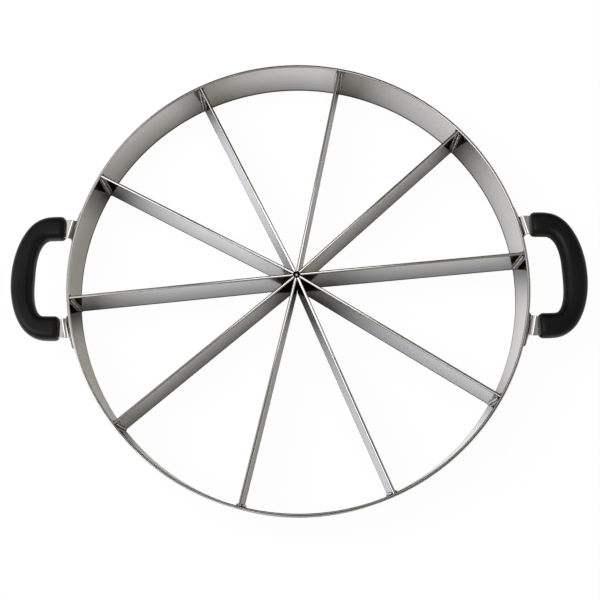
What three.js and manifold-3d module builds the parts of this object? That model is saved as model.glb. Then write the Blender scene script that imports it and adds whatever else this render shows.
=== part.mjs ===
// A round portion cutter: a steel hoop with radial blades, and a grip on a bent strap at each side.
// Millimetres, +Z up. The hoop's lower edge stands on z = 0, its axis is the Z axis, the grips lie along X.

import * as THREE from 'three';
import { mergeVertices } from 'three/addons/utils/BufferGeometryUtils.js';
import Module from 'manifold-3d';

const wasm = await Module();
wasm.setup();

// Hoop: a rolled strip, with its sharp corners taken off.
const hoopDiameter = 300;
const hoopHeight = 39;
const hoopWall = 2;
const hoopEdgeBreak = 0.6;

// Blades: flat strips as high as the hoop, corners taken off, inner ends mitred to fit round the pin.
// They are set by eye, so the portions differ by a few degrees. Angles are about the hub, from +X.
const bladeAngles = [5, 42, 78, 116, 152, 185.5, 219.5, 256, 293, 328];
const bladeThickness = 2;
const bladeEdgeBreak = 0.65;

// Hub pin: its shoulder lies below the blades' top edges, with a small weld nub in the middle.
const hubDiameter = 4.7;
const hubRecess = 2;
const hubLift = 0.8;
const hubPointHeight = 1.6;
const nubDiameter = 2.4;
const nubHeight = 1.4;

// Corner beads between the blades and the hoop.
const beadLeg = 1.5;
const beadRipple = 0.3;
const beadRippleCount = 7;
const beadTopMargin = 1;
const beadBottomMargin = 2;

// Grips: a C in plan, with an outer and an inner edge that bulge as superellipses.
const fingerGapLength = 51.6;
const fingerGapDepth = 22.4;
const gripArmWidth = 15.6;
const gripArmStraight = 8.1;
const gripWidth = 14.9;
const gripHeight = 14;
const gripShoulderWidth = 5.2;
const gripShoulderHeight = 6;
const gripWall = 1.6;
const gripOuterFullness = 2.1;
const gripInnerFullness = 2.8;

// Straps: past the grip each end is bare for a little, then bends down into a flared foot on the hoop's wall.
const strapThickness = 1.5;
const strapBelowRim = 4.25;
const strapBare = 0.4;
const strapBendRadius = 3.5;
const footDrop = 18;
const footCornerRadius = 4;
const footFlareLength = 4.2;
const footFlareOutside = 8;
const footFlareInside = 2;
const footWingRound = 1.2;

// Clearances
const weldGap = 0.3;
const bladeClearance = 0.35;
const gripFit = 0.3;

// How far joined solids reach into each other, and cutters past what they cut.
const overlap = 0.2;

// Facets
const hoopFacets = 120;
const hubFacets = 32;
const nubFacets = 4;
const beadFacets = 16;
const gripOutlineSteps = 26;
const gripShoulderSteps = 4;
const bendSteps = 7;

const steel = { color: 0x9d9b97, roughness: 0.36, metalness: 1 };
const polishedSteel = { color: 0xc6c2ba, roughness: 0.18, metalness: 1 };
const weldMetal = { color: 0x8b867e, roughness: 0.5, metalness: 1 };
const blackRubber = { color: 0x1b1b1c, roughness: 0.55, metalness: 0 };

const hoopRadius = hoopDiameter / 2;
const hoopBore = hoopRadius - hoopWall;
const radians = THREE.MathUtils.degToRad;
const axisX = new THREE.Vector3(1, 0, 0);
const axisY = new THREE.Vector3(0, 1, 0);
const axisZ = new THREE.Vector3(0, 0, 1);
const point = (x, y) => new THREE.Vector2(x, y);

// A closed geometry as a solid that can be joined and cut.
function solid(geometry) {
  const bare = geometry.clone();
  bare.deleteAttribute('normal');
  bare.deleteAttribute('uv');
  const merged = mergeVertices(bare, 1e-4);
  const vertProperties = new Float32Array(merged.attributes.position.array);
  const triVerts = new Uint32Array(merged.index.array);
  const mesh = new wasm.Mesh({ numProp: 3, vertProperties, triVerts });
  mesh.merge();
  return new wasm.Manifold(mesh);
}

// A joined or cut solid as a geometry again.
function geometryOf(body) {
  const mesh = body.getMesh();
  const geometry = new THREE.BufferGeometry();
  geometry.setAttribute('position', new THREE.BufferAttribute(mesh.vertProperties, 3));
  geometry.setIndex(new THREE.BufferAttribute(mesh.triVerts, 1));
  geometry.computeVertexNormals();
  return geometry;
}

// A straight extrusion of an outline, without rounded edges.
function prism(shape, depth) {
  return new THREE.ExtrudeGeometry(shape, { depth, bevelEnabled: false });
}

// A turned geometry about the Z axis, from points of radius and height.
function turned(profile, facets) {
  return new THREE.LatheGeometry(profile, facets).rotateX(Math.PI / 2);
}

function named(name, geometry, finish) {
  const mesh = new THREE.Mesh(geometry, new THREE.MeshStandardMaterial(finish));
  mesh.name = name;
  return mesh;
}

function makeHoop() {
  const chamfer = hoopEdgeBreak;
  const profile = [
    point(hoopBore + chamfer, 0),
    point(hoopRadius - chamfer, 0),
    point(hoopRadius, chamfer),
    point(hoopRadius, hoopHeight - chamfer),
    point(hoopRadius - chamfer, hoopHeight),
    point(hoopBore + chamfer, hoopHeight),
    point(hoopBore, hoopHeight - chamfer),
    point(hoopBore, chamfer),
    point(hoopBore + chamfer, 0),
  ];
  return named('hoop', turned(profile, hoopFacets), steel);
}

// The blades run from the pin to the hoop.
const hubRadius = hubDiameter / 2;
const bladeStart = hubRadius + weldGap;
const bladeEnd = hoopBore - weldGap;

// The angle from one blade to the next, by the number of the first.
function stepAfter(i) {
  const count = bladeAngles.length;
  const step = bladeAngles[(i + 1) % count] - bladeAngles[(i + count) % count];
  return radians(THREE.MathUtils.euclideanModulo(step, 360));
}

// How far to the side a blade may reach at x, before the mitre against the blade a step away.
function mitreAt(x, step) {
  return x * Math.tan(step / 2) - bladeClearance / (2 * Math.cos(step / 2));
}

// The blade's section, run out along +X from the hub and mitred between its neighbours.
function bladeGeometry(i) {
  const half = bladeThickness / 2;
  const chamfer = bladeEdgeBreak;
  const section = new THREE.Shape([
    point(chamfer - half, 0),
    point(half - chamfer, 0),
    point(half, chamfer),
    point(half, hoopHeight - chamfer),
    point(half - chamfer, hoopHeight),
    point(chamfer - half, hoopHeight),
    point(-half, hoopHeight - chamfer),
    point(-half, chamfer),
  ]);
  const alongX = new THREE.Matrix4().makeBasis(axisY, axisZ, axisX);
  const strip = prism(section, bladeEnd - hubRadius).applyMatrix4(alongX).translate(hubRadius, 0, 0);
  const before = stepAfter(i - 1);
  const after = stepAfter(i);
  const plan = new THREE.Shape([
    point(bladeStart, -mitreAt(bladeStart, before)),
    point(hoopRadius, -mitreAt(hoopRadius, before)),
    point(hoopRadius, mitreAt(hoopRadius, after)),
    point(bladeStart, mitreAt(bladeStart, after)),
  ]);
  const sector = prism(plan, hoopHeight + 2 * overlap).translate(0, 0, -overlap);
  return geometryOf(solid(strip).intersect(solid(sector)));
}

// A rippled round column, cut to the quarter that fills the corner beside the blade.
function beadGeometry(side) {
  const bottom = beadBottomMargin;
  const top = hoopHeight - beadTopMargin;
  const count = 2 * beadRippleCount;
  const wave = Array.from({ length: count + 1 }, (_, i) => {
    const radius = beadLeg - (i % 2 === 0 ? beadRipple : 0);
    return point(radius, THREE.MathUtils.lerp(bottom, top, i / count));
  });
  const column = solid(turned([point(0, bottom), ...wave, point(0, top)], beadFacets));
  const reach = 2 * beadLeg;
  const corner = new THREE.BoxGeometry(reach, reach, 2 * hoopHeight);
  corner.translate(-reach / 2, (side * reach) / 2, hoopHeight / 2);
  const quarter = geometryOf(column.intersect(solid(corner)));
  return quarter.translate(bladeEnd, side * (bladeThickness / 2 + weldGap), 0);
}

// Blades with their beads, each set turned to its angle.
function makeBlades() {
  const blades = new THREE.Group();
  const leftBead = beadGeometry(1);
  const rightBead = beadGeometry(-1);
  bladeAngles.forEach((angle, i) => {
    const number = String(i + 1).padStart(2, '0');
    const spoke = new THREE.Group();
    spoke.add(named(`blade_${number}`, bladeGeometry(i), steel));
    spoke.add(named(`weld_${number}_left`, leftBead, weldMetal));
    spoke.add(named(`weld_${number}_right`, rightBead, weldMetal));
    spoke.rotation.z = radians(angle);
    blades.add(spoke);
  });
  return blades;
}

function makeHubPin() {
  const shoulder = hoopHeight - hubRecess;
  const nubRadius = nubDiameter / 2;
  const nub = Array.from({ length: nubFacets }, (_, i) => {
    const angle = (Math.PI / 2) * (i / nubFacets);
    return point(nubRadius * Math.cos(angle), shoulder + nubHeight * Math.sin(angle));
  });
  const profile = [
    point(0, hubLift),
    point(hubRadius, hubLift + hubPointHeight),
    point(hubRadius, shoulder),
    ...nub,
    point(0, shoulder + nubHeight),
  ];
  return named('hub_pin', turned(profile, hubFacets), steel);
}

// Where the handle meets the hoop. u runs outwards along X, v along Y.
const gripLength = fingerGapLength + 2 * gripArmWidth;
const armMiddle = (fingerGapLength + gripArmWidth) / 2;
const footAngle = Math.asin(armMiddle / hoopRadius);

// The strap's bend, seen along the hoop's wall and measured from the hoop's axis.
const footFace = hoopRadius + weldGap;
const bendOuter = strapBendRadius + strapThickness;
const bendStart = footFace + bendOuter;
const strapTop = hoopHeight - strapBelowRim;
const strapLevel = strapTop - strapThickness / 2;
const footBottom = strapTop - footDrop;

// Where the strap's edge at v starts to bend, on the line square to the foot's direction.
function bendLine(v) {
  return (bendStart - Math.abs(v) * Math.sin(footAngle)) / Math.cos(footAngle);
}

// How far that place lies along the hoop's wall from the middle of the foot's frame.
function alongWall(v) {
  return v * Math.cos(footAngle) - bendLine(v) * Math.sin(footAngle);
}

const gripEnd = bendLine(fingerGapLength / 2) + strapBare;
const bulgeStart = gripEnd + gripArmStraight;
const gapReach = hoopRadius + fingerGapDepth - bulgeStart;
const gripReach = gapReach + gripWidth;

// Half a superellipse, from +v round to -v.
function bulge(reach, halfSpan, fullness) {
  return Array.from({ length: gripOutlineSteps + 1 }, (_, i) => {
    const angle = Math.PI / 2 - (Math.PI * i) / gripOutlineSteps;
    const across = Math.sin(angle);
    const u = bulgeStart + reach * Math.abs(Math.cos(angle)) ** (2 / fullness);
    return point(u, halfSpan * Math.sign(across) * Math.abs(across) ** (2 / fullness));
  });
}

// The grip's plan drawn in by an inset, with arms that end at endAt(v).
function handlePlan(inset, endAt) {
  const outerHalf = gripLength / 2 - inset;
  const innerHalf = fingerGapLength / 2 + inset;
  const outer = bulge(gripReach - inset, outerHalf, gripOuterFullness);
  const inner = bulge(gapReach + inset, innerHalf, gripInnerFullness).reverse();
  return new THREE.Shape([
    point(endAt(outerHalf), outerHalf),
    ...outer,
    point(endAt(-outerHalf), -outerHalf),
    point(endAt(-innerHalf), -innerHalf),
    ...inner,
    point(endAt(innerHalf), innerHalf),
  ]);
}

// A moulded C with round shoulders and a slot through it for the strap.
function gripGeometry() {
  const flank = gripHeight - 2 * gripShoulderHeight;
  const body = new THREE.ExtrudeGeometry(handlePlan(0, () => gripEnd), {
    depth: flank,
    bevelThickness: gripShoulderHeight,
    bevelSize: gripShoulderWidth,
    bevelOffset: -gripShoulderWidth,
    bevelSegments: gripShoulderSteps,
  });
  body.translate(0, 0, strapLevel - flank / 2);
  const slotHeight = strapThickness + 2 * gripFit;
  const slot = prism(handlePlan(gripWall - gripFit, () => hoopRadius), slotHeight);
  slot.translate(0, 0, strapLevel - slotHeight / 2);
  return geometryOf(solid(body).subtract(solid(slot)));
}

// The bent strip that every foot is cut from, with its width along Y from one wing to the other.
function bentStrip(lowWing, highWing) {
  const bendMiddle = strapTop - bendOuter;
  const outsideEnd = bendStart + overlap;
  const path = new THREE.Shape();
  path.moveTo(outsideEnd, strapTop);
  path.lineTo(bendStart, strapTop);
  path.absarc(bendStart, bendMiddle, bendOuter, Math.PI / 2, Math.PI, false);
  path.lineTo(footFace, footBottom);
  path.lineTo(footFace + strapThickness, footBottom);
  path.absarc(bendStart, bendMiddle, strapBendRadius, Math.PI, Math.PI / 2, true);
  path.lineTo(outsideEnd, strapTop - strapThickness);
  const towardsMinusY = new THREE.Matrix4().makeBasis(axisX, axisZ, axisY.clone().negate());
  const section = new THREE.Shape(path.extractPoints(bendSteps).shape);
  return prism(section, highWing - lowWing).applyMatrix4(towardsMinusY).translate(0, highWing, 0);
}

// The foot's outline from above: as wide as the strap at the grip, flared into two wings along the wall.
function flareCutter(side, innerEdge, outerEdge, innerWing, outerWing) {
  const outsideEnd = bendStart + 2 * overlap;
  const insideEnd = footFace - overlap;
  const flareStart = footFace + footFlareLength;
  const wingFace = footFace + strapThickness;
  const outerRound = side * (outerWing - footWingRound);
  const innerRound = side * (innerWing + footWingRound);
  const plan = new THREE.Shape();
  plan.moveTo(outsideEnd, side * outerEdge);
  plan.lineTo(flareStart, side * outerEdge);
  plan.quadraticCurveTo(wingFace, side * outerEdge, wingFace, outerRound);
  plan.quadraticCurveTo(wingFace, side * outerWing, footFace, side * outerWing);
  plan.lineTo(insideEnd, side * outerWing);
  plan.lineTo(insideEnd, side * innerWing);
  plan.lineTo(footFace, side * innerWing);
  plan.quadraticCurveTo(wingFace, side * innerWing, wingFace, innerRound);
  plan.quadraticCurveTo(wingFace, side * innerEdge, flareStart, side * innerEdge);
  plan.lineTo(outsideEnd, side * innerEdge);
  return prism(new THREE.Shape(plan.extractPoints(bendSteps).shape), strapTop + overlap);
}

// The foot's outline from outside: round lower corners.
function toeCutter(lowWing, highWing) {
  const radius = footCornerRadius;
  const face = new THREE.Shape();
  face.moveTo(lowWing, strapTop + overlap);
  face.lineTo(lowWing, footBottom + radius);
  face.absarc(lowWing + radius, footBottom + radius, radius, Math.PI, 1.5 * Math.PI, false);
  face.absarc(highWing - radius, footBottom + radius, radius, 1.5 * Math.PI, 2 * Math.PI, false);
  face.lineTo(highWing, strapTop + overlap);
  const insideEnd = footFace - overlap;
  const depth = bendOuter + 3 * overlap;
  const towardsX = new THREE.Matrix4().makeBasis(axisY, axisZ, axisX);
  return prism(new THREE.Shape(face.extractPoints(bendSteps).shape), depth)
    .applyMatrix4(towardsX)
    .translate(insideEnd, 0, 0);
}

// A bent tab that flares where it rolls down to the wall; side is 1 for the +Y arm and -1 for the other.
function footSolid(side) {
  const outerEdge = alongWall(gripLength / 2 - gripWall);
  const innerEdge = alongWall(fingerGapLength / 2 + gripWall);
  const outerWing = outerEdge + footFlareOutside;
  const innerWing = innerEdge - footFlareInside;
  const lowWing = Math.min(side * innerWing, side * outerWing);
  const highWing = Math.max(side * innerWing, side * outerWing);
  return solid(bentStrip(lowWing, highWing))
    .intersect(solid(flareCutter(side, innerEdge, outerEdge, innerWing, outerWing)))
    .intersect(solid(toeCutter(lowWing, highWing)));
}

// The strap lies flat inside the grip and comes out at both ends of the C.
function strapGeometry() {
  const core = prism(handlePlan(gripWall, bendLine), strapThickness);
  core.translate(0, 0, strapLevel - strapThickness / 2);
  const feet = [1, -1].map((side) => {
    const foot = geometryOf(footSolid(side)).rotateZ(side * footAngle);
    return solid(foot);
  });
  return geometryOf(feet.reduce((strap, foot) => strap.add(foot), solid(core)));
}

// One handle on +X, and the same turned half round on the other side.
function makeHandles() {
  const handles = new THREE.Group();
  const strap = strapGeometry();
  const grip = gripGeometry();
  [['right', 0], ['left', Math.PI]].forEach(([side, turn]) => {
    const handle = new THREE.Group();
    handle.add(named(`handle_strap_${side}`, strap, polishedSteel));
    handle.add(named(`grip_${side}`, grip, blackRubber));
    handle.rotation.z = turn;
    handles.add(handle);
  });
  return handles;
}

const cutter = new THREE.Group();
cutter.add(makeHoop(), makeBlades(), makeHubPin(), makeHandles());

export default cutter;
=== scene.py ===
import math
import random

import bmesh
import bpy
from mathutils import Matrix, Vector


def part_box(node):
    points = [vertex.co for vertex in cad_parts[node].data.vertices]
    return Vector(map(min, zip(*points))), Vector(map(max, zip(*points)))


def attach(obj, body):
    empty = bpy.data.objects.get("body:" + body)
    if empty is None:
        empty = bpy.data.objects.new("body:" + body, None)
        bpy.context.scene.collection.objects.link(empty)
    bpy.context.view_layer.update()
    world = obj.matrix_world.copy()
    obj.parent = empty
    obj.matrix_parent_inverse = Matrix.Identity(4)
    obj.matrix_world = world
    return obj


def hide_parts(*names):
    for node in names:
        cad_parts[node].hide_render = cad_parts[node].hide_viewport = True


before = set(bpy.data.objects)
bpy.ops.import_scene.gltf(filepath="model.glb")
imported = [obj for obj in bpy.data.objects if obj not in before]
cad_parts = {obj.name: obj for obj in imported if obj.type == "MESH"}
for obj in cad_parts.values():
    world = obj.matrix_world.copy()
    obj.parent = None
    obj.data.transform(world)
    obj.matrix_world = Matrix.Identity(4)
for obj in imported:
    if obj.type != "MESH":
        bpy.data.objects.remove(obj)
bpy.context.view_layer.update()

mm = 0.001
nearEnough = 0.01 * mm    # what lies this close counts as the same place
white = (1, 1, 1, 1)
scene = bpy.context.scene


# Small helpers for modelling by operators

def clearSelection():
    bpy.ops.object.select_all(action="DESELECT")


def startPiece(name):    # the primitive just added becomes a named piece with its place in its mesh
    piece = bpy.context.object
    piece.name = name
    piece.data.name = name
    bpy.ops.object.transform_apply(location=True, rotation=True, scale=True)
    bpy.ops.object.mode_set(mode="EDIT")
    return piece


def addBlock(name, centre, size):
    clearSelection()
    bpy.ops.mesh.primitive_cube_add(size=1, location=centre)
    bpy.context.object.scale = size
    return startPiece(name)


def addDisc(name, radius, height, corners):
    clearSelection()
    bpy.ops.mesh.primitive_circle_add(
        vertices=corners, radius=radius, fill_type="NGON", location=(0, 0, height))
    return startPiece(name)


def pick(piece, kind, test):    # selects the verts, edges or faces that pass the test
    bpy.ops.mesh.select_mode(type={"verts": "VERT", "edges": "EDGE", "faces": "FACE"}[kind])
    bpy.ops.mesh.select_all(action="DESELECT")
    mesh = bmesh.from_edit_mesh(piece.data)
    for item in getattr(mesh, kind):
        if test(item):
            item.select_set(True)
    mesh.select_flush_mode()
    bmesh.update_edit_mesh(piece.data)


def pickAll():
    bpy.ops.mesh.select_all(action="SELECT")


def middle(item):
    return sum((v.co for v in item.verts), Vector()) / len(item.verts)


def spread(edge):
    return edge.verts[1].co - edge.verts[0].co


def endPiece(piece, mergeWithin=0.002 * mm):    # closes seams and turns faces outwards
    bpy.ops.mesh.select_mode(type="VERT")
    pickAll()
    bpy.ops.mesh.remove_doubles(threshold=mergeWithin)
    bpy.ops.mesh.normals_make_consistent(inside=False)
    bpy.ops.object.mode_set(mode="OBJECT")
    return piece


def applyModifier(piece, kind, **settings):
    clearSelection()
    piece.select_set(True)
    bpy.context.view_layer.objects.active = piece
    added = piece.modifiers.new(kind.title(), kind)
    for key, value in settings.items():
        setattr(added, key, value)
    bpy.ops.object.modifier_apply(modifier=added.name)


def smoothByAngle(piece, degrees):    # steeper edges stay sharp
    clearSelection()
    piece.select_set(True)
    bpy.context.view_layer.objects.active = piece
    bpy.ops.object.shade_smooth_by_angle(angle=math.radians(degrees))


def flatShading(piece, degrees):    # wide faces keep their own normals beside the small round edges
    smoothByAngle(piece, degrees)
    applyModifier(piece, "WEIGHTED_NORMAL", keep_sharp=True)


def turnedCopy(piece, name, angle):    # a copy with its own mesh, turned about the hub
    twin = piece.copy()
    twin.data = piece.data.copy()
    twin.name = name
    twin.data.name = name
    scene.collection.objects.link(twin)
    twin.data.transform(Matrix.Rotation(angle, 4, "Z"))
    return twin


def discard(piece):
    bpy.data.objects.remove(piece, do_unlink=True)


def fit(piece, node, material):
    piece.data.materials.clear()
    piece.data.materials.append(material)
    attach(piece, "root")
    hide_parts(node)


# Sizes read from the frame

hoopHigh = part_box("hoop")[1]
hoopRadius = hoopHigh.x
hoopHeight = hoopHigh.z
bladeNodes = sorted(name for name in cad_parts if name.startswith("blade_"))


def bladeAngle(node):    # from the far corner of the blade's box, less half its thickness
    low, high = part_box(node)
    x, y = low.x + high.x, low.y + high.y
    rough = math.atan2(y, x)
    half = bladeSettings["thickness"] / 2
    farX = max(-low.x, high.x) - half * abs(math.sin(rough))
    farY = max(-low.y, high.y) - half * abs(math.cos(rough))
    return math.atan2(math.copysign(farY, y), math.copysign(farX, x))


# Camera: stands over the near side and looks down, framed off centre

cameraSettings = {
    "place": (1.76 * mm, -156.49 * mm, 655.03 * mm),
    "turn": (18.018, 1.77, -0.009),
    "lens": 58.746,
    "sensor": 36,
    "shift": (0.05, -0.15),
    "nearest": 0.01,
}


def makeCamera():
    data = bpy.data.cameras.new("camera")
    data.sensor_width = cameraSettings["sensor"]
    data.lens = cameraSettings["lens"]
    data.shift_x, data.shift_y = cameraSettings["shift"]
    data.clip_start = cameraSettings["nearest"]
    camera = bpy.data.objects.new("camera", data)
    camera.location = cameraSettings["place"]
    camera.rotation_euler = [math.radians(a) for a in cameraSettings["turn"]]
    scene.collection.objects.link(camera)
    scene.camera = camera


makeCamera()
print("camera set")


# Shader helpers

class NodeDesk:    # short words for adding and wiring nodes in one tree
    def __init__(self, tree):
        self.tree = tree

    def add(self, kind, **settings):
        node = self.tree.nodes.new(kind)
        for key, value in settings.items():
            setattr(node, key, value)
        return node

    def feed(self, socket, value):
        if isinstance(value, bpy.types.NodeSocket):
            self.tree.links.new(value, socket)
        else:
            socket.default_value = value

    def math(self, operation, *values):
        node = self.add("ShaderNodeMath", operation=operation)
        for socket, value in zip(node.inputs, values):
            self.feed(socket, value)
        return node.outputs[0]

    def vector(self, x, y, z):
        node = self.add("ShaderNodeCombineXYZ")
        for socket, value in zip(node.inputs, (x, y, z)):
            self.feed(socket, value)
        return node.outputs[0]

    def noise(self, place, scale, detail=2.0, roughness=0.5):
        node = self.add("ShaderNodeTexNoise")
        self.feed(node.inputs["Vector"], place)
        node.inputs["Scale"].default_value = scale
        node.inputs["Detail"].default_value = detail
        node.inputs["Roughness"].default_value = roughness
        return node.outputs["Fac"]

    def ramp(self, value, given, wanted):    # the given range becomes the wanted one, clamped
        node = self.add("ShaderNodeMapRange", clamp=True)
        names = "Value", "From Min", "From Max", "To Min", "To Max"
        for name, item in zip(names, (value, *given, *wanted)):
            self.feed(node.inputs[name], item)
        return node.outputs["Result"]

    def blendColours(self, share, first, second):
        node = self.add("ShaderNodeMix", data_type="RGBA")
        self.feed(node.inputs["Factor"], share)
        self.feed(node.inputs["A"], first)
        self.feed(node.inputs["B"], second)
        return node.outputs["Result"]

    def blendShaders(self, share, first, second):
        node = self.add("ShaderNodeMixShader")
        for socket, value in zip(node.inputs, (share, first, second)):
            self.feed(socket, value)
        return node.outputs[0]

    def place(self, group, **inputs):
        node = self.add("ShaderNodeGroup", node_tree=group)
        for name, value in inputs.items():
            self.feed(node.inputs[name], value)
        return node.outputs

    def bump(self, shader, height, settings):
        node = self.add("ShaderNodeBump")
        node.inputs["Strength"].default_value = settings["bumpStrength"]
        node.inputs["Distance"].default_value = settings["bumpDepth"]
        self.feed(node.inputs["Height"], height)
        self.feed(shader.inputs["Normal"], node.outputs["Normal"])


def newGroup(name, inputs, outputs):
    tree = bpy.data.node_groups.new(name, "ShaderNodeTree")
    for label, kind in inputs:
        tree.interface.new_socket(label, in_out="INPUT", socket_type="NodeSocket" + kind)
    for label, kind in outputs:
        tree.interface.new_socket(label, in_out="OUTPUT", socket_type="NodeSocket" + kind)
    desk = NodeDesk(tree)
    return tree, desk, desk.add("NodeGroupInput").outputs, desk.add("NodeGroupOutput").inputs


def newMaterial(name):
    material = bpy.data.materials.new(name)
    material.use_nodes = True
    desk = NodeDesk(material.node_tree)
    return material, desk, material.node_tree.nodes["Principled BSDF"]


def objectPlace(desk):
    return desk.add("ShaderNodeTexCoord").outputs["Object"]


def placeParts(desk):    # x, y and z of the place on the piece
    parts = desk.add("ShaderNodeSeparateXYZ")
    desk.feed(parts.inputs[0], objectPlace(desk))
    return parts.outputs


def polarPlace(desk):    # distance from the hub, angle about it, height
    x, y, z = placeParts(desk)
    squares = [desk.math("MULTIPLY", part, part) for part in (x, y)]
    return desk.math("SQRT", desk.math("ADD", *squares)), desk.math("ARCTAN2", y, x), z


# Rolled strip: fine lines along the strip, broad haze over it

stripGrainSettings = {    # scale along the strip, scale across it, detail, roughness
    "fine": (22, 5200, 3.0, 0.5),
    "coarse": (9, 900, 2.0, 0.5),
    "haze": (26, 60, 3.0, 0.6),
    "fineShare": 0.4,
    "coarseShare": 0.6,
    "lineRange": (0.7, 1.3),
    "hazeRange": (0.3, 0.7),
}


def makeStripGrain():
    settings = stripGrainSettings
    tree, desk, given, out = newGroup(
        "stripGrain",
        [("Along", "Float"), ("Across", "Float"), ("Strip", "Float")],
        [("Height", "Float"), ("Line", "Float"), ("Haze", "Float")])

    def stretched(name):
        along, across, detail, roughness = settings[name]
        place = desk.vector(desk.math("MULTIPLY", given["Along"], along),
                            desk.math("MULTIPLY", given["Across"], across), given["Strip"])
        return desk.noise(place, 1.0, detail, roughness)

    fine, coarse, haze = stretched("fine"), stretched("coarse"), stretched("haze")
    desk.feed(out["Height"], desk.math("ADD", desk.math("MULTIPLY", fine, settings["fineShare"]),
                                       desk.math("MULTIPLY", coarse, settings["coarseShare"])))
    desk.feed(out["Line"], desk.ramp(desk.math("ADD", fine, coarse), settings["lineRange"], (0, 1)))
    desk.feed(out["Haze"], desk.ramp(haze, settings["hazeRange"], (0, 1)))
    return tree


stripGrain = makeStripGrain()

steelSettings = {
    "colour": (0.565, 0.55, 0.525, 1),
    "lineColour": (0.645, 0.63, 0.605, 1),
    "roughness": (0.07, 0.12),
    "bumpStrength": 0.01,
    "bumpDepth": 0.02 * mm,
    "stripStep": 40,    # how far the grain moves on from one strip to the next
}
hoopSteelSettings = {
    **steelSettings,
    "colour": (0.48, 0.466, 0.447, 1),
    "lineColour": (0.55, 0.536, 0.512, 1),
    "stripStep": 900,
    "insideDepth": 1.0 * mm,    # what lies further in than this is the inner wall
}
strapSteelSettings = {
    "colour": (0.62, 0.60, 0.57, 1),
    "lineColour": (0.68, 0.66, 0.63, 1),
    "roughness": (0.06, 0.12),
    "bumpStrength": 0.02,
    "bumpDepth": 0.02 * mm,
    "stripStep": 300,
}
paintedShadeSettings = {    # painted shade: steel turns dark where it is seen mirrored in steel close by, where rays from the floor meet it, and along its lower edge
    "colour": (0.08, 0.076, 0.064, 1),
    "glareTint": (0.27, 0.26, 0.24, 1),
    "reach": (25 * mm, 70 * mm),    # fades out between these distances
    "farShare": 0.2,
    "footRange": (2.0 * mm, 3.2 * mm),
    "footShare": 0.9,
}


def paintedFootShadow(desk, height):    # painted contact shadow: a dark line along the lower edge
    return desk.ramp(height, paintedShadeSettings["footRange"], (paintedShadeSettings["footShare"], 0))


def finishSteel(desk, shader, place, mirrored, foot, settings):
    paintedShade = paintedShadeSettings
    along, across, strip = place
    grain = desk.place(stripGrain, Along=along, Across=across,
                       Strip=desk.math("MULTIPLY", strip, settings["stripStep"]))
    # painted shade: the base colour and the reflection go dark where this steel is mirrored in steel
    # close by, darkening corners and joints, and where rays from the floor meet it
    path = desk.add("ShaderNodeLightPath")
    fromFloor = path.outputs["Is Diffuse Ray"]
    closeBy = desk.ramp(path.outputs["Ray Length"], paintedShade["reach"], (1, paintedShade["farShare"]))
    paintedShadeInSteel = desk.math("MULTIPLY", path.outputs["Is Glossy Ray"], mirrored)
    paintedShadeInSteel = desk.math("MULTIPLY", paintedShadeInSteel, closeBy)
    paintedShadeShare = desk.math("MAXIMUM", desk.math("MAXIMUM", paintedShadeInSteel, fromFloor), foot)
    colour = desk.blendColours(grain["Line"], settings["colour"], settings["lineColour"])
    desk.feed(shader.inputs["Base Color"], desk.blendColours(paintedShadeShare, colour, paintedShade["colour"]))
    desk.feed(shader.inputs["Specular Tint"], desk.blendColours(paintedShadeShare, white, paintedShade["glareTint"]))
    rough = desk.ramp(grain["Haze"], (0, 1), settings["roughness"])
    desk.feed(shader.inputs["Roughness"], desk.math("MAXIMUM", rough, fromFloor))
    shader.inputs["Metallic"].default_value = 1
    desk.bump(shader, grain["Height"], settings)


def makeHoopSteel():
    material, desk, shader = newMaterial("hoopSteel")
    reach, angle, height = polarPlace(desk)
    # only the inner wall takes the painted shade of steel mirrored close by
    inside = desk.math("LESS_THAN", reach, hoopRadius - hoopSteelSettings["insideDepth"])
    place = desk.math("MULTIPLY", angle, hoopRadius), height, reach
    finishSteel(desk, shader, place, inside, paintedFootShadow(desk, height), hoopSteelSettings)
    return material


def makeBladeSteel():
    material, desk, shader = newMaterial("bladeSteel")
    reach, angle, height = polarPlace(desk)
    finishSteel(desk, shader, (reach, height, angle), 1.0, paintedFootShadow(desk, height), steelSettings)
    return material


def makeStrapSteel():
    material, desk, shader = newMaterial("strapSteel")
    finishSteel(desk, shader, placeParts(desk), 0.0, 0.0, strapSteelSettings)
    return material


weldMetalSettings = {
    "colour": (0.40, 0.39, 0.37, 1),
    "brightColour": (0.78, 0.77, 0.75, 1),
    "blotchScale": 900,
    "blotchRange": (0.35, 0.65),
    "roughRange": (0.3, 0.7),
    "roughness": (0.42, 0.18),    # bright blotches are smoother
    "bumpStrength": 0.35,
    "bumpDepth": 0.12 * mm,
}


def makeWeldMetal():
    material, desk, shader = newMaterial("weldMetal")
    settings = weldMetalSettings
    blotch = desk.noise(objectPlace(desk), settings["blotchScale"], detail=4.0)
    bright = desk.ramp(blotch, settings["blotchRange"], (0, 1))
    colour = desk.blendColours(bright, settings["colour"], settings["brightColour"])
    rough = desk.ramp(blotch, settings["roughRange"], settings["roughness"])
    desk.feed(shader.inputs["Base Color"], colour)
    desk.feed(shader.inputs["Roughness"], rough)
    shader.inputs["Metallic"].default_value = 1
    desk.bump(shader, blotch, settings)
    return material


hubMetalSettings = {
    # near black: painted shade in the recess round the nub, and the colour of stains on the nub
    "shadeAndStainColour": (0.05, 0.048, 0.045, 1),
    "nubColour": (0.85, 0.84, 0.82, 1),
    "recessShadeFrom": (1.3 * mm, 1.5 * mm),
    "blotchScale": 900,
    "blotchRange": (0.3, 0.7),
    "blotchShare": 0.4,
    "roughness": 0.5,
}


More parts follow.
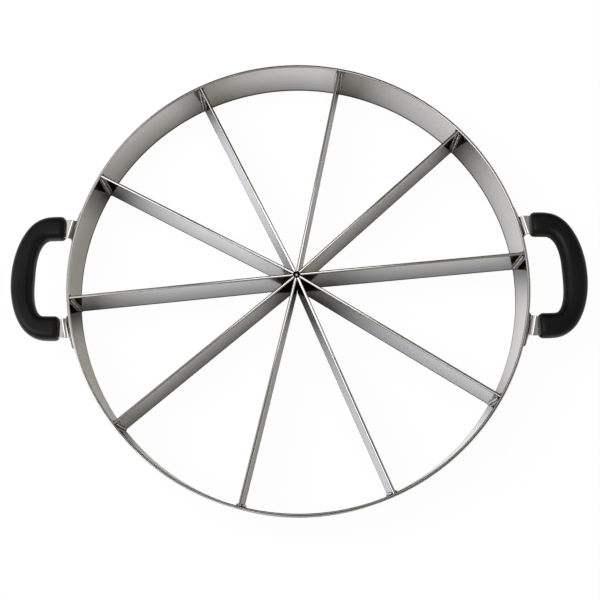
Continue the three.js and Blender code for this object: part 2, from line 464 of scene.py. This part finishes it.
def makeHubMetal():
    material, desk, shader = newMaterial("hubMetal")
    settings = hubMetalSettings
    reach = polarPlace(desk)[0]
    # painted shade: all the pin outside the nub is near black, standing in for the shadow in the recess
    # where the blades meet
    recessShade = desk.ramp(reach, settings["recessShadeFrom"], (0, 1))
    blotch = desk.noise(objectPlace(desk), settings["blotchScale"], detail=3.0)
    stained = desk.ramp(blotch, settings["blotchRange"], (0, settings["blotchShare"]))
    nub = desk.blendColours(stained, settings["nubColour"], settings["shadeAndStainColour"])
    desk.feed(shader.inputs["Base Color"], desk.blendColours(recessShade, nub, settings["shadeAndStainColour"]))
    shader.inputs["Roughness"].default_value = settings["roughness"]
    shader.inputs["Metallic"].default_value = 1
    return material


gripBlackSettings = {
    "colour": (0.002, 0.002, 0.0022, 1),
    "paleColour": (0.004, 0.004, 0.0042, 1),
    "specular": 0.18,
    "grainScale": 2600,
    "cloudScale": 45,
    "cloudRange": (0.35, 0.65),
    "roughRange": (0.3, 0.7),
    "roughness": (0.34, 0.44),
    "bumpStrength": 0.06,
    "bumpDepth": 0.03 * mm,
}


def makeGripBlack():
    material, desk, shader = newMaterial("gripBlack")
    settings = gripBlackSettings
    place = objectPlace(desk)
    grain = desk.noise(place, settings["grainScale"])
    cloud = desk.noise(place, settings["cloudScale"], detail=3.0)
    pale = desk.ramp(cloud, settings["cloudRange"], (0, 1))
    colour = desk.blendColours(pale, settings["colour"], settings["paleColour"])
    rough = desk.ramp(cloud, settings["roughRange"], settings["roughness"])
    desk.feed(shader.inputs["Base Color"], colour)
    desk.feed(shader.inputs["Roughness"], rough)
    shader.inputs["Metallic"].default_value = 0
    shader.inputs["Specular IOR Level"].default_value = settings["specular"]
    desk.bump(shader, grain, settings)
    return material


hoopSteel = makeHoopSteel()
bladeSteel = makeBladeSteel()
strapSteel = makeStrapSteel()
weldMetal = makeWeldMetal()
hubMetal = makeHubMetal()
gripBlack = makeGripBlack()
print("materials made")


# Hoop: the strip's section, spun once round

hoopSettings = {
    "wall": 2.0 * mm,
    "edgeRound": 0.7 * mm,
    "edgeSteps": 6,
    "spinSteps": 360,
    "smoothAngle": 50,
}


def makeHoop():
    settings = hoopSettings
    clearSelection()
    middleOfWall = (hoopRadius - settings["wall"] / 2, 0, hoopHeight / 2)
    bpy.ops.mesh.primitive_plane_add(size=1, location=middleOfWall, rotation=(math.pi / 2, 0, 0))
    bpy.context.object.scale = (settings["wall"], hoopHeight, 1)
    hoop = startPiece("hoopStrip")
    pickAll()
    bpy.ops.mesh.bevel(offset=settings["edgeRound"], segments=settings["edgeSteps"], affect="VERTICES")
    pickAll()
    bpy.ops.mesh.delete(type="ONLY_FACE")
    pickAll()
    bpy.ops.mesh.spin(steps=settings["spinSteps"], angle=2 * math.pi, center=(0, 0, 0), axis=(0, 0, 1))
    endPiece(hoop)
    flatShading(hoop, settings["smoothAngle"])
    fit(hoop, "hoop", hoopSteel)


makeHoop()
print("hoop spun")


# Blades: flat strips with round edges, mitred at the hub

bladeSettings = {
    "thickness": 2.0 * mm,
    "topRound": 0.8 * mm,
    "footRound": 0.3 * mm,
    "edgeSteps": 6,
    "hubEnd": 2.4 * mm,
    "mitre": 16.3,           # degrees to each side
    "mitreGap": 0.05 * mm,
    "hoopBite": 0.1 * mm,    # how far the outer end sinks into the hoop's wall
    "smoothAngle": 40,
}
bladeAngles = {node: bladeAngle(node) for node in bladeNodes}


def makeBlades():
    settings = bladeSettings
    outerEnd = hoopRadius - hoopSettings["wall"] + settings["hoopBite"]
    length = outerEnd - settings["hubEnd"]
    blade = addBlock("bladeStart", ((outerEnd + settings["hubEnd"]) / 2, 0, hoopHeight / 2),
                     (length, settings["thickness"], hoopHeight))
    for size, atTop in ((settings["topRound"], True), (settings["footRound"], False)):
        pick(blade, "edges", lambda e: (abs(spread(e).x) > length / 2
                                        and (middle(e).z > hoopHeight / 2) == atTop))
        bpy.ops.mesh.bevel(offset=size, segments=settings["edgeSteps"], affect="EDGES")
    slope = math.radians(settings["mitre"])
    for side in (1, -1):
        away = Vector((-math.sin(slope), side * math.cos(slope), 0))
        pickAll()
        bpy.ops.mesh.bisect(plane_co=away * -settings["mitreGap"], plane_no=away,
                            clear_outer=True, use_fill=True)
    endPiece(blade)
    flatShading(blade, settings["smoothAngle"])
    for node in bladeNodes:
        twin = turnedCopy(blade, node.replace("blade_", "bladeStrip_"), bladeAngles[node])
        fit(twin, node, bladeSteel)
    discard(blade)


makeBlades()
print("blades set")


# Corner beads: a column of small swells, drawn up ring by ring

beadSettings = {
    "radius": 1.2 * mm,
    "offset": 0.5 * mm,    # the bead's middle stands off both walls by this much
    "corners": 14,
    "swells": 11,
    "ringsPerSwell": 4,
    "swellDepth": 0.16,
    "swellSpread": (0.86, 1.14),
    "startShare": 0.45,      # the first ring's share of the radius
    "endPower": 0.35,        # how bluntly the ends close
    "endShare": 0.12,
    "wander": 0.16 * mm,
    "wanderStep": 0.4,
    "wanderBack": 0.5,
    "variants": 5,
    "turn": 1.9,             # radians from one bead to the next, so that another side shows
    "smoothAngle": 80,
    "seed": 11,
}


def makeBead(name, low, high, luck):
    settings = beadSettings
    rings = settings["swells"] * settings["ringsPerSwell"]
    step = (high - low) / rings
    size = settings["radius"] * settings["startShare"]
    bead = addDisc(name, size, low, settings["corners"])
    swellSizes = [luck.uniform(*settings["swellSpread"]) for _ in range(settings["swells"] + 1)]
    sway = Vector((0, 0, 0))
    for ring in range(1, rings + 1):
        share = ring / rings
        swell, within = divmod(ring, settings["ringsPerSwell"])
        pulse = math.sin(math.pi * within / settings["ringsPerSwell"])
        ends = min(1, math.sin(math.pi * share) ** settings["endPower"] + settings["endShare"])
        swollen = swellSizes[swell] * (1 - settings["swellDepth"] * (1 - pulse))
        target = settings["radius"] * swollen * ends
        shift = Vector((luck.uniform(-1, 1), luck.uniform(-1, 1), 0))
        shift *= settings["wander"] * settings["wanderStep"]
        if (sway + shift).length > settings["wander"]:
            shift = -sway * settings["wanderBack"]
        sway += shift
        bpy.ops.mesh.extrude_region_move(TRANSFORM_OT_translate={"value": (shift.x, shift.y, step)})
        bpy.ops.transform.resize(value=(target / size, target / size, 1),
                                 center_override=(sway.x, sway.y, low + ring * step))
        size = target
    endPiece(bead)
    applyModifier(bead, "SUBSURF", levels=1, render_levels=1)
    smoothByAngle(bead, settings["smoothAngle"])
    return bead


def makeBeads():
    settings = beadSettings
    luck = random.Random(settings["seed"])
    low, high = (corner.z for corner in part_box("weld_01_left"))
    beads = [makeBead("beadStart%d" % i, low, high, luck) for i in range(settings["variants"])]
    corner = hoopRadius - hoopSettings["wall"] - settings["offset"]
    aside = bladeSettings["thickness"] / 2 + settings["offset"]
    count = 0
    for node in bladeNodes:
        number = node.split("_")[1]
        for side, sign in (("left", 1), ("right", -1)):
            twin = turnedCopy(beads[count % len(beads)], "bead_%s_%s" % (number, side), 0)
            twin.data.transform(Matrix.Rotation(count * settings["turn"], 4, "Z"))
            twin.data.transform(Matrix.Translation((corner, sign * aside, 0)))
            twin.data.transform(Matrix.Rotation(bladeAngles[node], 4, "Z"))
            fit(twin, "weld_%s_%s" % (number, side), weldMetal)
            count += 1
    for bead in beads:
        discard(bead)


makeBeads()
print("beads drawn")


# Hub pin: a pin with a pointed foot, and a small round nub in a dish between the blades

hubSettings = {
    "radius": 2.35 * mm,
    "recess": 2.0 * mm,
    "dish": 1.3 * mm,
    "lift": 0.8 * mm,
    "pointHeight": 1.6 * mm,
    "nubRadius": 1.2 * mm,
    "nubHeight": 1.4 * mm,
    "nubSteps": 6,
    "rimRound": 0.25 * mm,
    "dishSlope": 1.25,           # the dish's floor starts at this many nub radii
    "tipRadius": 0.1 * mm,
    "crownRadius": 0.05 * mm,
    "corners": 48,
    "smoothAngle": 50,
}


def makeHub():
    settings = hubSettings
    radius, nubRadius = settings["radius"], settings["nubRadius"]
    shoulder = hoopHeight - settings["recess"]
    rise = shoulder - settings["rimRound"] - settings["lift"] - settings["pointHeight"]
    rings = [    # radius, and height above the ring before
        (radius, settings["pointHeight"]),
        (radius, rise),
        (radius - settings["rimRound"], settings["rimRound"]),
        (nubRadius * settings["dishSlope"], -settings["dish"]),
        (nubRadius, settings["dish"]),
    ]
    before = 0
    for step in range(1, settings["nubSteps"] + 1):
        angle = math.pi / 2 * step / settings["nubSteps"]
        rings.append((max(nubRadius * math.cos(angle), settings["crownRadius"]),
                      settings["nubHeight"] * (math.sin(angle) - math.sin(before))))
        before = angle
    now = settings["tipRadius"]
    hub = addDisc("hubPin", now, settings["lift"], settings["corners"])
    pickAll()
    for wanted, step in rings:
        bpy.ops.mesh.extrude_region_move(TRANSFORM_OT_translate={"value": (0, 0, step)})
        bpy.ops.transform.resize(value=(wanted / now, wanted / now, 1), center_override=(0, 0, 0))
        now = wanted
    endPiece(hub)
    smoothByAngle(hub, settings["smoothAngle"])
    fit(hub, "hub_pin", hubMetal)


makeHub()
print("hub turned")


# Handle path: a flat curve through the middle of strap and grip

handleSettings = {
    "armWidth": 15.6 * mm,
    "midWidth": 14.9 * mm,
    "armStraight": 8.1 * mm,
    "bulgeFullness": 2.3,
    "bulgePoints": 24,
    "pathSteps": 32,
    "spareEnd": 15.0 * mm,    # how far the path runs on past the grip, towards the hub
}
gripLow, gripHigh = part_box("grip_right")
handleLevel = (gripLow.z + gripHigh.z) / 2
armMiddle = gripHigh.y - handleSettings["armWidth"] / 2


def makeHandlePath():
    settings = handleSettings
    pathStart = gripLow.x - settings["spareEnd"]
    bulgeStart = gripLow.x + settings["armStraight"]
    bulgeReach = gripHigh.x - settings["midWidth"] / 2 - bulgeStart
    points = [Vector((pathStart, armMiddle, 0)), Vector((gripLow.x, armMiddle, 0))]
    power = settings["bulgeFullness"]
    for i in range(settings["bulgePoints"] + 1):
        angle = math.pi / 2 - math.pi * i / settings["bulgePoints"]
        way = Vector((math.cos(angle), math.sin(angle), 0))
        reach = (abs(way.x / bulgeReach) ** power + abs(way.y / armMiddle) ** power) ** (-1 / power)
        points.append(Vector((bulgeStart, 0, 0)) + way * reach)
    points += [Vector((gripLow.x, -armMiddle, 0)), Vector((pathStart, -armMiddle, 0))]
    data = bpy.data.curves.new("handlePath", "CURVE")
    data.dimensions = "2D"
    data.resolution_u = settings["pathSteps"]
    spline = data.splines.new("BEZIER")
    spline.bezier_points.add(len(points) - 1)
    for bezier, place in zip(spline.bezier_points, points):
        bezier.co = place
        bezier.handle_left_type = bezier.handle_right_type = "AUTO"
    path = bpy.data.objects.new("handlePath", data)
    scene.collection.objects.link(path)
    bpy.context.view_layer.update()
    return path, spline.calc_length()


handlePath, pathLength = makeHandlePath()


def bendAlongPath(piece):
    applyModifier(piece, "CURVE", object=handlePath, deform_axis="POS_X")
    piece.data.transform(Matrix.Translation((0, 0, handleLevel)))


# Grips: a bar with round shoulders and pillowed ends, bent along the path

gripSettings = {
    "cornerWidth": 13.4 * mm,    # the grip is narrowest round its two corners
    "cornerAt": 0.5,
    "armFrom": 0.85,
    "shoulder": 5.2 * mm,
    "shoulderSteps": 6,
    "endRound": 2.6 * mm,
    "endSteps": 4,
    "cuts": 64,
    "stationStep": 0.002 * mm,
    "smoothAngle": 60,
}


def easeBetween(share, first, second):
    share = min(1, max(0, share))
    return first + (second - first) * share * share * (3 - 2 * share)


def gripWidthAt(share):    # share is 0 in the middle of the grip and 1 at its ends
    settings = gripSettings
    corner, armFrom = settings["cornerAt"], settings["armFrom"]
    if share < corner:
        return easeBetween(share / corner, handleSettings["midWidth"], settings["cornerWidth"])
    return easeBetween((share - corner) / (armFrom - corner),
                       settings["cornerWidth"], handleSettings["armWidth"])


def makeGrips():
    settings = gripSettings
    begin = handleSettings["spareEnd"]
    length = pathLength - 2 * begin
    armWidth = handleSettings["armWidth"]
    bar = addBlock("gripStart", (begin + length / 2, 0, 0), (length, armWidth, gripHigh.z - gripLow.z))
    pick(bar, "edges", lambda e: abs(spread(e).x) > length / 2)
    bpy.ops.mesh.bevel(offset=settings["shoulder"], segments=settings["shoulderSteps"], affect="EDGES")
    pick(bar, "edges", lambda e: abs(spread(e).x) < nearEnough)
    bpy.ops.mesh.bevel(offset=settings["endRound"], segments=settings["endSteps"], affect="EDGES")
    pick(bar, "edges", lambda e: abs(spread(e).x) > length / 2)
    bpy.ops.mesh.subdivide(number_cuts=settings["cuts"])
    mesh = bmesh.from_edit_mesh(bar.data)
    stations = sorted({round(v.co.x, 6) for v in mesh.verts})
    for station in stations:
        width = gripWidthAt(abs((station - begin) / length - 0.5) * 2)
        pick(bar, "verts", lambda v: abs(v.co.x - station) < settings["stationStep"])
        bpy.ops.transform.resize(value=(1, width / armWidth, 1), center_override=(0, 0, 0))
    endPiece(bar)
    bendAlongPath(bar)
    applyModifier(bar, "SUBSURF", levels=1, render_levels=1)
    smoothByAngle(bar, settings["smoothAngle"])
    for side, turn in (("right", 0), ("left", math.pi)):
        fit(turnedCopy(bar, "grip_%s_moulding" % side, turn), "grip_" + side, gripBlack)
    discard(bar)


makeGrips()
print("grips moulded")


# Straps: a flat bar bent along the path, its ends rolled down into flared feet on the hoop's wall

strapSettings = {
    "width": 12.4 * mm,
    "thickness": 1.5 * mm,
    "bendRadius": 3.5 * mm,
    "wallGap": 0.05 * mm,
    "drop": 18.0 * mm,
    "flareLength": 2.2 * mm,
    "flareOutside": 8.0 * mm,
    "flareInside": 2.0 * mm,
    "wingRound": 1.2 * mm,
    "toeRound": 4.0 * mm,
    "toeSteps": 6,
    "edgeRound": 0.25 * mm,
    "edgeSteps": 2,
    "smoothAngle": 40,
    "cuts": 64,
    "bendSteps": 16,
    "stationStep": 0.004 * mm,
}


def makeStraps():
    settings = strapSettings
    bar = addBlock("strapStart", (pathLength / 2, 0, 0),
                   (pathLength, settings["width"], settings["thickness"]))
    pick(bar, "edges", lambda e: abs(spread(e).x) > pathLength / 2)
    bpy.ops.mesh.subdivide(number_cuts=settings["cuts"])
    endPiece(bar)
    bendAlongPath(bar)
    for side in (1, -1):
        rollFoot(bar, side)
    applyModifier(bar, "BEVEL", width=settings["edgeRound"], segments=settings["edgeSteps"],
                  limit_method="ANGLE", angle_limit=math.radians(settings["smoothAngle"]))
    flatShading(bar, settings["smoothAngle"])
    for side, turn in (("right", 0), ("left", math.pi)):
        fit(turnedCopy(bar, "strap_" + side, turn), "handle_strap_" + side, strapSteel)
    discard(bar)


def flareAt(depth, flare):    # how far the foot reaches aside, by the distance from the wall
    settings = strapSettings
    wing, ended = settings["thickness"], settings["wingRound"]
    if depth < wing:
        return flare - ended * (1 - math.sqrt(1 - max(0, depth) / wing)) ** 2
    return (flare - ended) * (1 - math.sqrt((depth - wing) / (settings["flareLength"] - wing))) ** 2


def rollFoot(bar, side):    # side is 1 for the arm at +Y and -1 for the other
    settings = strapSettings
    angle = side * math.asin(armMiddle / hoopRadius)
    outward = Vector((math.cos(angle), math.sin(angle), 0))
    alongWall = Vector((-math.sin(angle), math.cos(angle), 0)) * side    # away from the other arm
    footFace = hoopRadius + settings["wallGap"]
    bendOuter = settings["bendRadius"] + settings["thickness"]
    bendStart = footFace + bendOuter
    top = handleLevel + settings["thickness"] / 2
    clearSelection()
    bar.select_set(True)
    bpy.context.view_layer.objects.active = bar
    bpy.ops.object.mode_set(mode="EDIT")
    pick(bar, "faces", lambda f: middle(f).y * side > 0)
    bpy.ops.mesh.bisect(plane_co=outward * bendStart, plane_no=outward, clear_inner=True, use_fill=True)
    pick(bar, "verts", lambda v: v.co.y * side > 0 and abs(v.co.dot(outward) - bendStart) < nearEnough)
    axis = Vector((0, 0, 1)).cross(outward)
    pivot = outward * bendStart + Vector((0, 0, top - bendOuter))
    bpy.ops.mesh.spin(steps=settings["bendSteps"], angle=math.pi / 2, center=pivot, axis=axis)
    down = (0, 0, bendOuter - settings["drop"])
    bpy.ops.mesh.extrude_region_move(TRANSFORM_OT_translate={"value": down})
    mesh = bmesh.from_edit_mesh(bar.data)
    edges = [v.co.dot(alongWall) for v in mesh.verts if v.select]
    centre = (max(edges) + min(edges)) / 2
    flareStart = footFace + settings["flareLength"]
    step = settings["stationStep"]
    stations = []
    for depth in sorted(v.co.dot(outward) for v in mesh.verts if v.co.y * side > 0):
        if depth < flareStart and (not stations or depth - stations[-1] > step):
            stations.append(depth)
    for station in stations:    # wider and wider towards the wall
        for flare, way in ((settings["flareOutside"], 1), (settings["flareInside"], -1)):
            pick(bar, "verts", lambda v: (v.co.y * side > 0
                                          and 0 <= v.co.dot(outward) - station <= step
                                          and (v.co.dot(alongWall) - centre) * way > 0))
            bpy.ops.transform.translate(value=alongWall * (way * flareAt(station - footFace, flare)))
    bottom = top - settings["drop"]
    pick(bar, "edges", lambda e: (middle(e).y * side > 0 and abs(middle(e).z - bottom) < nearEnough
                                  and abs(spread(e).dot(outward)) > settings["thickness"] / 2))
    bpy.ops.mesh.bevel(offset=settings["toeRound"], segments=settings["toeSteps"], affect="EDGES")
    endPiece(bar)


makeStraps()
print("straps rolled")
discard(handlePath)


# Floor and light

floorSettings = {
    "size": 30.0,
    "drop": 0.3 * mm,
    "colour": (0.85, 0.85, 0.85, 1),
    "roughness": 0.9,
    "cameraWhite": 0.97,    # the rest is shadow
    "glossyWhite": 0.04,
}


def makeFloor():
    settings = floorSettings
    clearSelection()
    bpy.ops.mesh.primitive_plane_add(size=settings["size"], location=(0, 0, -settings["drop"]))
    floor = bpy.context.object
    floor.name = "floor"
    material, desk, shader = newMaterial("floorPaint")
    shader.inputs["Base Color"].default_value = settings["colour"]
    shader.inputs["Roughness"].default_value = settings["roughness"]
    glow = desk.add("ShaderNodeEmission")
    path = desk.add("ShaderNodeLightPath")
    glossy = desk.math("MAXIMUM", path.outputs["Is Glossy Ray"], path.outputs["Is Transmission Ray"])
    seen = desk.math("MULTIPLY", path.outputs["Is Camera Ray"], settings["cameraWhite"])
    share = desk.math("MAXIMUM", seen, desk.math("MULTIPLY", glossy, settings["glossyWhite"]))
    mixed = desk.blendShaders(share, shader.outputs[0], glow.outputs[0])
    desk.feed(material.node_tree.nodes["Material Output"].inputs["Surface"], mixed)
    floor.data.materials.append(material)


lampSettings = {
    "keyLamp": {"place": (-0.81, 0.08, 0.996), "size": 1.1, "watts": 23.5, "colour": (0.915, 0.925, 1)},
    "fillLamp": {"place": (0.16, 0.3, 1.2), "size": 0.6, "watts": 8, "colour": (1, 0.96, 0.88)},
}
skySettings = {
    "horizonShare": 0.12,    # how much of the sky's light is left at the horizon
    "heights": (0.2, 0.8),
    "left": (0.13, 0.122, 0.098, 1),
    "right": (0.083, 0.077, 0.058, 1),
    "leftToRight": (-0.9, 0.9),
    "near": (0.38, 0.37, 0.35, 1),    # a pale screen behind the camera
    "nearRange": (0.05, -0.2),
    "sides": (0.75, 0.75, 0.75, 1),    # and one low at either side
    "sideRange": (0.68, 0.74),
}
cardSettings = {    # soft white cards that show only as mirrored
    "fade": 0.2,
    "cards": [    # direction, half angle in degrees, colour
        ((-0.63, -0.19, 0.753), 21, (3.6, 3.6, 3.7, 1)),
        ((0, 0.247, 0.969), 6, (2.6, 2.6, 2.65, 1)),
        ((-0.33, 0.3, 0.89), 13, (0.9, 0.9, 0.88, 1)),
        ((0.33, 0.3, 0.89), 13, (0.35, 0.34, 0.33, 1)),
        ((-0.22, -0.43, 0.876), 12, (2.8, 2.8, 2.85, 1)),
    ],
}


def makeLamp(name, settings):
    data = bpy.data.lights.new(name, "AREA")
    data.shape = "SQUARE"
    data.size = settings["size"]
    data.energy = settings["watts"]
    data.color = settings["colour"]
    lamp = bpy.data.objects.new(name, data)
    lamp.visible_glossy = False    # the cards show in its place
    lamp.location = settings["place"]
    lamp.rotation_euler = (-Vector(settings["place"])).to_track_quat("-Z", "Y").to_euler()
    scene.collection.objects.link(lamp)


def cardShare(desk, directions, towards, halfAngle):
    towards = Vector(towards).normalized()
    x, y, z = (desk.math("MULTIPLY", part, amount) for part, amount in zip(directions, towards))
    nearness = desk.math("ADD", desk.math("ADD", x, y), z)
    rim = math.radians(halfAngle)
    return desk.ramp(nearness, (math.cos(rim), math.cos(rim * (1 - cardSettings["fade"]))), (0, 1))


def makeSky():    # a dim room for the steel to mirror, white for the camera
    settings = skySettings
    world = bpy.data.worlds.new("sky")
    scene.world = world
    world.use_nodes = True
    desk = NodeDesk(world.node_tree)
    parts = desk.add("ShaderNodeSeparateXYZ")
    desk.feed(parts.inputs[0], desk.add("ShaderNodeTexCoord").outputs["Generated"])
    x, y, z = parts.outputs
    high = desk.ramp(z, settings["heights"], (settings["horizonShare"], 1))
    near = desk.ramp(y, settings["nearRange"], (0, 1))
    side = desk.ramp(desk.math("ABSOLUTE", x), settings["sideRange"], (0, 1))
    across = desk.ramp(x, settings["leftToRight"], (0, 1))
    colour = desk.blendColours(across, settings["left"], settings["right"])
    colour = desk.blendColours(near, colour, settings["near"])
    colour = desk.blendColours(side, colour, settings["sides"])
    for towards, halfAngle, cardColour in cardSettings["cards"]:
        colour = desk.blendColours(cardShare(desk, (x, y, z), towards, halfAngle), colour, cardColour)
    path = desk.add("ShaderNodeLightPath")
    lit = desk.math("MAXIMUM", desk.math("MAXIMUM", high, near), side)
    room = world.node_tree.nodes["Background"]
    desk.feed(room.inputs["Color"], colour)
    desk.feed(room.inputs["Strength"], desk.math("MULTIPLY", lit, path.outputs["Is Glossy Ray"]))
    plain = desk.add("ShaderNodeBackground")
    plain.inputs["Color"].default_value = white
    mixed = desk.blendShaders(path.outputs["Is Camera Ray"], room.outputs[0], plain.outputs[0])
    desk.feed(world.node_tree.nodes["World Output"].inputs["Surface"], mixed)


makeFloor()
for name, settings in lampSettings.items():
    makeLamp(name, settings)
makeSky()
scene.view_settings.view_transform = "Standard"
print("stage lit")
